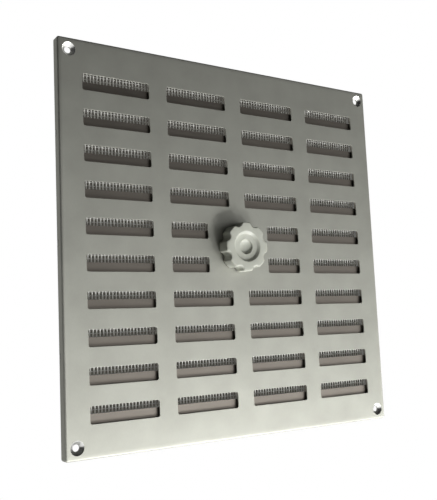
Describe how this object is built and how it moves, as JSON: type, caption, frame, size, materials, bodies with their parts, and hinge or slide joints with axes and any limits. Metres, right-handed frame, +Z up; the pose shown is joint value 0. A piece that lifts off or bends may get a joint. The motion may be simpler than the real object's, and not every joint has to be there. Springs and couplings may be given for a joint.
{
  "type": "adjustable vent grille",
  "caption": "Square metal wall vent grille with rows of slots, a sliding shutter worked by a scalloped clamp knob, an insect mesh behind it and a screw hole in each corner.",
  "frame": {"origin": "centre of the corner screw holes, in the middle of their straight lands", "axes": "+X to the right seen from the front, +Y into the wall, +Z up"},
  "size_m": [0.2424, 0.0159, 0.242],
  "materials": {
    "anodised_aluminium": "satin anodised, fine grain",
    "shutter_aluminium": "dull rolled sheet",
    "plain_aluminium": "rolled sheet, bare",
    "mesh_wire": "drawn wire",
    "knob_plastic": "satin moulded",
    "nylon": "natural moulded",
    "zinc_plated_steel": "zinc plated"
  },
  "bodies": {
    "grille": {"face_plate": "anodised_aluminium", "right_guide": "plain_aluminium", "left_guide": "plain_aluminium", "insect_mesh": "mesh_wire", "mesh_strip_right": "plain_aluminium", "mesh_strip_left": "plain_aluminium", "mesh_strip_top": "plain_aluminium", "mesh_strip_bottom": "plain_aluminium"},
    "shutter": {"shutter_plate": "shutter_aluminium", "clamp_stud": "zinc_plated_steel", "guide_bush": "nylon", "front_washer": "zinc_plated_steel"},
    "clamp_knob": {"knob": "knob_plastic", "knob_nut": "zinc_plated_steel"}
  },
  "joints": [
    {"name": "shutter_slide", "type": "slide", "parent": "grille", "child": "shutter", "axis": [0, 0, 1], "range_m": [-0.0057, 0.005]},
    {"name": "knob_turn", "type": "hinge", "parent": "shutter", "child": "clamp_knob", "pos_m": [0, -0.0078, -0.00045], "axis": [0, -1, 0], "range_deg": [0, 360]}
  ]
}
